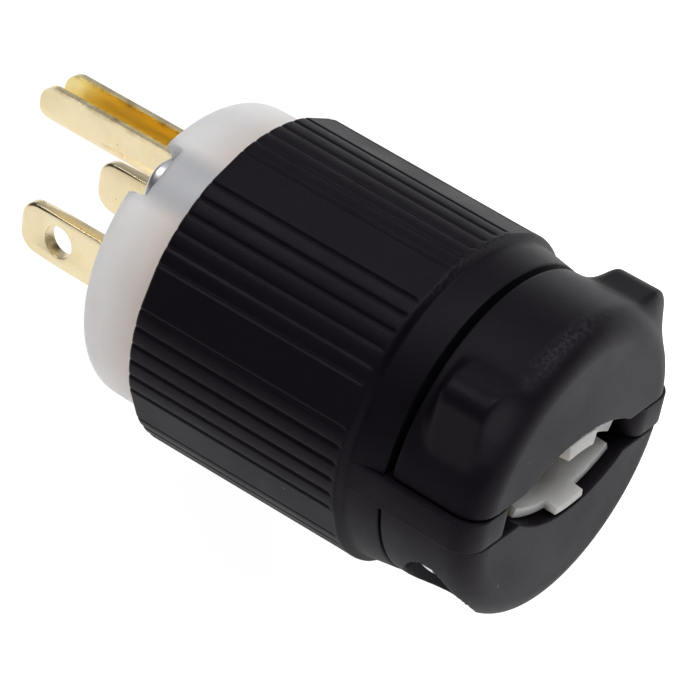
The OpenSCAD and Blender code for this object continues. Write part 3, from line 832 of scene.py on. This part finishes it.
def lug_lift(angle):
    """How far a lug's outline stands out of the round side at an angle in radians."""
    y, z = abs(math.cos(angle)), math.sin(angle)
    turn = math.degrees(math.atan2(z, y))
    if turn <= 0:
        return 0.0
    hollow = LUG_HOLLOW
    if turn > TOP_TURN:
        reach = (LUG_Z + LUG_ROUND) / z
    elif turn > FLANK_TURN:
        centre = LUG_Y * y + LUG_Z * z
        reach = centre + math.sqrt(centre * centre - LUG_Y ** 2 - LUG_Z ** 2 + LUG_ROUND ** 2)
    else:
        out = LUG_Y * math.cos(LUG_LEAN) + LUG_Z * math.sin(LUG_LEAN) + LUG_ROUND
        reach = out / (y * math.cos(LUG_LEAN) + z * math.sin(LUG_LEAN))
        hollow = FOOT_HOLLOW
    lift = reach - CLAMP_R
    return (lift + math.hypot(lift, hollow)) / 2


def lug_share(x, angle):
    """Share of the lugs at a station: soft at both ends, and shorter towards the foot."""
    turn = math.degrees(math.atan2(math.sin(angle), abs(math.cos(angle))))
    short = FOOT_SHORT * (1 - soft_step((turn - FOOT_TURN) / FOOT_FADE))
    front = soft_step((UPPER_X - FRONT_GAP - short - x) / FRONT_FADE)
    rear_way = (x - (SCREW_X - REAR_REACH) - short) / REAR_FADE
    rear = soft_step(min(max(rear_way, 0.0), 1.0) ** REAR_POWER)
    return front * rear


print("lug: top from", round(TOP_TURN, 1), "degrees, flank up to", round(FLANK_TURN, 1))

# %% [markdown]
# The skin of a clamp half is drawn out from ring to ring like the shell's, each ring a
# circle with its share of the lugs, close together round the rear edge. Bisect then saws it
# at the parting plane and fills the cut.

# %% Clamp: the skin
CLAMP_Z = 1.95
SKIN_POINTS, SIDE_RINGS, ROUND_RINGS = 480, 30, 20


def body_radius(x):
    """Radius of the turned body at a station."""
    past = REAR_X + CLAMP_ROUND - x
    if past < 0:
        return CLAMP_R
    return CLAMP_R - CLAMP_ROUND + math.sqrt(max(0.0, CLAMP_ROUND * CLAMP_ROUND - past * past))


def plain_radius(station, angle):
    """Radius of a half without lugs, the same at every angle."""
    return body_radius(*station)


def lugged_radius(station, angle):
    """Radius of a half with lugs."""
    return body_radius(*station) + lug_lift(angle) * lug_share(*station, angle)


def clamp_skin(front_x, radius_at):
    """The closed skin of a clamp half, sawn at the parting plane."""
    run = front_x - REAR_X - CLAMP_ROUND
    stations = [(front_x - i * run / SIDE_RINGS,) for i in range(SIDE_RINGS + 1)]
    for i in range(1, ROUND_RINGS + 1):
        a = math.radians(90 * i / ROUND_RINGS)
        stations.append((REAR_X + CLAMP_ROUND - CLAMP_ROUND * math.sin(a),))
    skin = upright_circle(SKIN_POINTS, CLAMP_R, fill="NGON")
    draw_out(skin, stations, radius_at)
    face_outwards()
    bpy.ops.mesh.bisect(
        plane_co=(0, 0, CLAMP_Z), plane_no=(0, 0, 1), use_fill=True, clear_inner=True
    )
    bpy.ops.object.mode_set(mode="OBJECT")
    return skin


print("clamp skin:", SIDE_RINGS + ROUND_RINGS + 1, "rings of", SKIN_POINTS)

# %% [markdown]
# The arch for the cord and the screw holes are cut from the skin. Then the half is remeshed
# to an even net of small faces and smoothed a little, which breaks all its edges alike, as
# a mould does. On the lower half the arch is a little deeper towards the rear, so a dark
# gap shows under the lower grip, and two wide seats let the screw heads in from below.

# %% Clamp: both halves
LOWER_X, ARCH_H, ARCH_R, ARCH_POINTS, ARCH_PAST = -41.35, 4.6, 17.997, 256, 1
LUG_HOLE_R, LUG_HOLE_Z = 1.75, 11.6
SEAT_R, SEAT_Z, UNDER_Z = 3.95, -6.4, -19
GAP, GAP_LONG = 0.5, 5
GAP_HALF = math.sqrt(ARCH_R ** 2 - (ARCH_R - ARCH_H + CLAMP_Z) ** 2)
GAP_RISE = ARCH_H + GAP - CLAMP_Z
GAP_R = (GAP_HALF ** 2 + GAP_RISE ** 2) / (2 * GAP_RISE)
CLAMP_NET, CLAMP_ROUNDS = 0.17, 6


def even_net(piece, size, rounds):
    """Remeshes a piece to an even net of small faces and smooths it."""
    finish_modifier(piece, "REMESH", mode="VOXEL", voxel_size=size, use_smooth_shade=True)
    finish_modifier(piece, "SMOOTH", factor=0.5, iterations=rounds)


def arch(radius, top, front_x):
    """A bar along the plug that cuts an arch up to a height."""
    return rod(radius, REAR_X - ARCH_PAST, front_x, "X", (0, top - radius), ARCH_POINTS)


upper = clamp_skin(UPPER_X, lugged_radius)
combine(upper, arch(ARCH_R, ARCH_H, UPPER_X + ARCH_PAST))
for side in (1, -1):
    combine(upper, rod(LUG_HOLE_R, 0, LUG_HOLE_Z, "Z", (SCREW_X, side * SCREW_Y)))
even_net(upper, CLAMP_NET, CLAMP_ROUNDS)
settle(upper, "upper_cord_clamp", black_nylon, "black_nylon", "upper_clamp", angle=60)

lower = clamp_skin(LOWER_X, plain_radius)
combine(lower, arch(ARCH_R, ARCH_H, LOWER_X + ARCH_PAST))
combine(lower, arch(GAP_R, ARCH_H + GAP, REAR_X + GAP_LONG))
turn_over(lower, "Z")
for side in (1, -1):
    combine(lower, rod(SEAT_R, UNDER_Z, SEAT_Z, "Z", (SCREW_X, side * SCREW_Y)))
    combine(lower, rod(SCREW_HOLE_R, UNDER_Z, 0, "Z", (SCREW_X, side * SCREW_Y)))
even_net(lower, CLAMP_NET, CLAMP_ROUNDS)
settle(lower, "lower_cord_clamp", black_nylon, "black_nylon", "lower_clamp", angle=60)

# %% [markdown]
# The cord grips are curved white plates that lie in the two arches. Each starts as a flat
# grid: a tab is drawn out of its rear edge, the grid is bent to the arch, and Solidify
# gives it its thickness. The inner side flares a little towards the rear.

# %% Cord grips
GRIP_FRONT, GRIP_BACK, GRIP_HALF = -43.25, REAR_X + 1.4, 8.7
GRIP_CLEAR, GRIP_EDGE = 0.1, 0.28
TAB_HALF, TAB_OUT = 2.45, 0.08
FLARE, FLARE_LONG = 0.4, 3.0
UPPER_THICK, LOWER_THICK = 2.25, 1.3


def draw(way):
    """Extrudes what is selected along a way."""
    bpy.ops.mesh.extrude_region_move(TRANSFORM_OT_translate={"value": way})


def cord_grip(thick):
    """A grip for the upper arch."""
    clear_selection()
    bpy.ops.mesh.primitive_grid_add(x_subdivisions=16, y_subdivisions=48, size=1)
    grip = bpy.context.object
    grip.scale = (GRIP_FRONT - GRIP_BACK, 2 * GRIP_HALF, 1)
    grip.location = ((GRIP_FRONT + GRIP_BACK) / 2, 0, 0)
    bpy.ops.object.transform_apply(location=True, rotation=True, scale=True)
    for y in (TAB_HALF, -TAB_HALF):
        only(grip)
        bpy.ops.object.mode_set(mode="EDIT")
        bpy.ops.mesh.select_all(action="SELECT")
        bpy.ops.mesh.bisect(plane_co=(0, y, 0), plane_no=(0, 1, 0))
    pick(grip, "EDGE", lambda e, m: e.is_boundary and m.x < GRIP_BACK + 0.01 and abs(m.y) < TAB_HALF)
    draw((REAR_X - TAB_OUT - GRIP_BACK, 0, 0))
    only(grip)
    outer = ARCH_R - GRIP_CLEAR
    centre = ARCH_H - GRIP_CLEAR - outer
    for v in grip.data.vertices:
        v.co.z = centre + math.sqrt(outer * outer - v.co.y * v.co.y)
    finish_modifier(grip, "SOLIDIFY", thickness=thick, offset=-1.0, use_even_offset=True)
    for v in grip.data.vertices:
        spoke = Vector((0, v.co.y, v.co.z - centre))
        if spoke.length < outer - thick / 2:
            v.co += spoke.normalized() * FLARE * max(0.0, 1 - (v.co.x - REAR_X) / FLARE_LONG)
    soft_edges(grip, GRIP_EDGE)
    return grip


settle(cord_grip(UPPER_THICK), "upper_cord_grip", shaded_grip_nylon, "white_nylon", "upper_grip", angle=50)
lower_grip = cord_grip(LOWER_THICK)
turn_over(lower_grip, "Z")
settle(lower_grip, "lower_cord_grip", shaded_grip_nylon, "white_nylon", "lower_grip", angle=50)

# %% [markdown]
# The front face is a white cup that carries the blades. It is a turned disc with a large
# round at the front, hollow behind, with slots for the blades, a slot for the folded pin,
# and two notches in its edge where the long screws sit. An even net softens it as well.

# %% Front face
FACE_R, FACE_ROUND, CUP_R, CUP_X = 17.8, 2.4, 15.4, -6
BLADE_Y, BLADE_Z, SLOT_THICK, SLOT_HIGH = 6.35, -3.1, 0.81, 3.225
PIN_Z, PIN_SLOT, PIN_SLOT_TOP = 8.79, 2.45, 2.95
LONG_TURNS = (LONG_TURN, LONG_TURN + 180)
NOTCH_X, NOTCH_R, NOTCH_OUT, LONG_HOLE_R = -3.0, 3.2, 19, 1.95
AHEAD, BEHIND, SKIRT_PAST = 1, -7, SKIRT_X - 1
FACE_NET, FACE_ROUNDS = 0.25, 4


def turn_round(tool, degrees):
    """Turns a tool about the plug's axis."""
    tool.rotation_euler.x = math.radians(degrees)
    only(tool)
    bpy.ops.object.transform_apply(rotation=True)
    return tool


def long_place(degrees):
    """Where a long screw's line crosses the face."""
    return math.cos(math.radians(degrees)) * LONG_C, math.sin(math.radians(degrees)) * LONG_C


face = rod(FACE_R, SKIRT_X, 0.0, "X", (0, 0), 256)
pick(face, "EDGE", lambda e, m: all(abs(v.co.x) < 0.01 for v in e.verts))
bpy.ops.mesh.bevel(offset=FACE_ROUND, segments=14, affect="EDGES")
combine(face, rod(CUP_R, SKIRT_PAST, CUP_X, "X", (0, 0), 192))
for side in (1, -1):
    y = side * BLADE_Y
    low = (BEHIND, y - SLOT_THICK, BLADE_Z - SLOT_HIGH)
    high = (AHEAD, y + SLOT_THICK, BLADE_Z + SLOT_HIGH)
    combine(face, brick(low, high))
combine(face, rod(PIN_SLOT, BEHIND, AHEAD, "X", (0, PIN_Z)))
combine(face, brick((BEHIND, -PIN_SLOT, PIN_Z), (AHEAD, PIN_SLOT, PIN_Z + PIN_SLOT_TOP)))
for degrees in LONG_TURNS:
    combine(face, rod(NOTCH_R, NOTCH_X, AHEAD, "X", long_place(degrees)))
    notch = brick((NOTCH_X, LONG_C, -NOTCH_R), (AHEAD, NOTCH_OUT, NOTCH_R))
    combine(face, turn_round(notch, degrees))
    combine(face, rod(LONG_HOLE_R, SKIRT_PAST, 0, "X", long_place(degrees)))
even_net(face, FACE_NET, FACE_ROUNDS)
settle(face, "white_face", white_nylon, "white_nylon", "front_face", angle=60)

# %% [markdown]
# A blade is a stamped strip of brass with a round-cornered, bevelled tip. The near one has
# a hole that a socket's detent can click into, and the far one is plain. Both have a hole
# for their terminal screw inside.

# %% Blades
TAIL_X, TERMINAL_X, TERMINAL_HOLE_R = -19.0, -14.0, 1.75
BLADE_TIP, BLADE_THICK, BLADE_HIGH = 17.6, 0.76, 3.175
TIP_ROUND, TIP_BEVEL, BLADE_EDGE = 2.3, 0.38, 0.14
TIP_HOLE_X, TIP_HOLE_R, BLADE_DRILL = 12.0, 1.95, 2


def flat_blade(side, tip_hole):
    """One blade, with or without the hole near its tip."""
    y = side * BLADE_Y
    low = (TAIL_X, y - BLADE_THICK, BLADE_Z - BLADE_HIGH)
    high = (BLADE_TIP, y + BLADE_THICK, BLADE_Z + BLADE_HIGH)
    strip = brick(low, high)
    tip_from, round_from = BLADE_TIP - 0.1, BLADE_TIP - TIP_ROUND - 0.05
    pick(strip, "EDGE", lambda e, m: m.x > tip_from and abs(m.z - BLADE_Z) > 3 and abs(m.y - y) < 0.1)
    bpy.ops.mesh.bevel(offset=TIP_ROUND, segments=12, affect="EDGES")
    pick(strip, "EDGE", lambda e, m: m.x > round_from and abs(m.y - y) > 0.7)
    bpy.ops.mesh.bevel(offset=TIP_BEVEL, segments=4, affect="EDGES")
    drill = (y - BLADE_DRILL, y + BLADE_DRILL, "Y")
    if tip_hole:
        combine(strip, rod(TIP_HOLE_R, *drill, (TIP_HOLE_X, BLADE_Z)))
    combine(strip, rod(TERMINAL_HOLE_R, *drill, (TERMINAL_X, BLADE_Z), 48))
    soft_edges(strip, BLADE_EDGE)
    return strip


settle(flat_blade(1, True), "near_blade", brass, "brass", "line_blade")
settle(flat_blade(-1, False), "far_blade", brass, "brass", "neutral_blade")

# %% [markdown]
# The ground pin is sheet brass folded to a trough. Half a circle and two straight sides
# give the middle line of the fold, which is drawn out and given its wall with Solidify.
# A bullet-shaped block trims the nose. The flat tail carries the terminal screw.

# %% Ground pin
FOLD_R, FOLD_WALL, PIN_SIDE, PIN_DEEP = 2.0, 0.8, 2.9, 2.4
FOLD_START, FOLD_RUN, PIN_TIP = -10.0, 31.0, 20.6
NOSE_HALF, NOSE_ROUND, NOSE_BACK = 3.0, 2.35, -12.0
TAIL_HALF, TAIL_END, TAIL_TOP, TAIL_DRILL = 3.2, -9.1, 1.6, 4
PIN_EDGE = 0.16
pin = upright_circle(64, FOLD_R, FOLD_START, PIN_Z)
pick(pin, "VERT", lambda v, m: m.z > PIN_Z + 0.01)
bpy.ops.mesh.delete(type="VERT")
pick(pin, "VERT", lambda v, m: m.z > PIN_Z - 0.01)
draw((0, 0, PIN_SIDE))
bpy.ops.mesh.select_mode(type="EDGE")
bpy.ops.mesh.select_all(action="SELECT")
draw((FOLD_RUN, 0, 0))
face_outwards()
finish_modifier(pin, "SOLIDIFY", thickness=FOLD_WALL, offset=0.0, use_even_offset=True)
bullet = brick((NOSE_BACK, -NOSE_HALF, PIN_Z - PIN_DEEP), (PIN_TIP, NOSE_HALF, PIN_Z + PIN_SIDE))
pick(bullet, "EDGE", lambda e, m: m.x > PIN_TIP - 0.1 and abs(m.y) < 0.1)
bpy.ops.mesh.bevel(offset=NOSE_ROUND, segments=14, affect="EDGES")
combine(pin, bullet, "INTERSECT")
tail = brick((TAIL_X, -TAIL_HALF, PIN_Z - PIN_DEEP), (TAIL_END, TAIL_HALF, PIN_Z - TAIL_TOP))
combine(pin, tail, "UNION")
combine(pin, rod(TERMINAL_HOLE_R, PIN_Z - TAIL_DRILL, PIN_Z, "Z", (TERMINAL_X, 0), 48))
soft_edges(pin, PIN_EDGE)
settle(pin, "folded_ground_pin", brass, "brass", "ground_pin")

# %% [markdown]
# Each screw starts as a disc. Its face is rounded, the back is inset and drawn out to the
# shank, and the drive is cut into the head: a cross for the two long screws that hold the
# face, a slot for the two that close the clamp from below.

# %% Screws
SCREW_EDGE = 0.08


def screw(head_r, head_t, round_off, shank_r, shank_long, slots, slot_wide, slot_long, slot_deep):
    """A screw along X with the underside of its head at zero and its shank behind."""
    body = rod(head_r, 0, head_t)
    pick(body, "EDGE", lambda e, m: all(abs(v.co.x - head_t) < 0.001 for v in e.verts))
    bpy.ops.mesh.bevel(offset=round_off, segments=5, affect="EDGES")
    pick(body, "FACE", lambda f, m: m.x < 0.001 and f.normal.x < -0.9)
    bpy.ops.mesh.inset(thickness=head_r - shank_r)
    draw((-shank_long, 0, 0))
    for degrees in slots:
        low = (head_t - slot_deep, -slot_long / 2, -slot_wide / 2)
        high = (head_t + 1, slot_long / 2, slot_wide / 2)
        combine(body, turn_round(brick(low, high), degrees))
    soft_edges(body, SCREW_EDGE, segments=2)
    return body


for degrees, level in zip(LONG_TURNS, ("upper", "lower")):
    long_screw = screw(
        head_r=3.0, head_t=1.5, round_off=0.6, shank_r=1.75, shank_long=30.0,
        slots=(20, 110), slot_wide=0.8, slot_long=3.6, slot_deep=0.9,
    )
    long_screw.location = (NOTCH_X, *long_place(degrees))
    long_screw.rotation_euler.x = math.radians(degrees)
    settle(long_screw, f"{level}_face_screw", steel, "steel", f"{level}_assembly_screw")
for side, name, node in ((1, "near", "left"), (-1, "far", "right")):
    clamp_screw = screw(
        head_r=3.0, head_t=2.2, round_off=0.8, shank_r=1.7, shank_long=17.2,
        slots=(35,), slot_wide=1.0, slot_long=9.0, slot_deep=1.1,
    )
    clamp_screw.rotation_euler.y = math.pi / 2
    clamp_screw.location = (SCREW_X, side * SCREW_Y, SEAT_Z)
    settle(clamp_screw, f"{name}_clamp_screw", steel, "steel", f"{node}_clamp_screw")

# %% [markdown]
# The pieces inside the shell aren't seen, so their solids stay and only take the finish.

# %% Inner pieces
INNER = {"terminal_base": white_nylon}
for wire in ("line", "neutral", "ground"):
    INNER[f"{wire}_plate"] = brass
    INNER[f"{wire}_screw"] = steel
for node, finish in INNER.items():
    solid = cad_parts[node]
    solid.data.materials.clear()
    solid.data.materials.append(finish)
print("inner pieces:", ", ".join(INNER))

# %% Sizes
low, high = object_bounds()
print("visual box", [round(v, 5) for v in (*low, *high)])
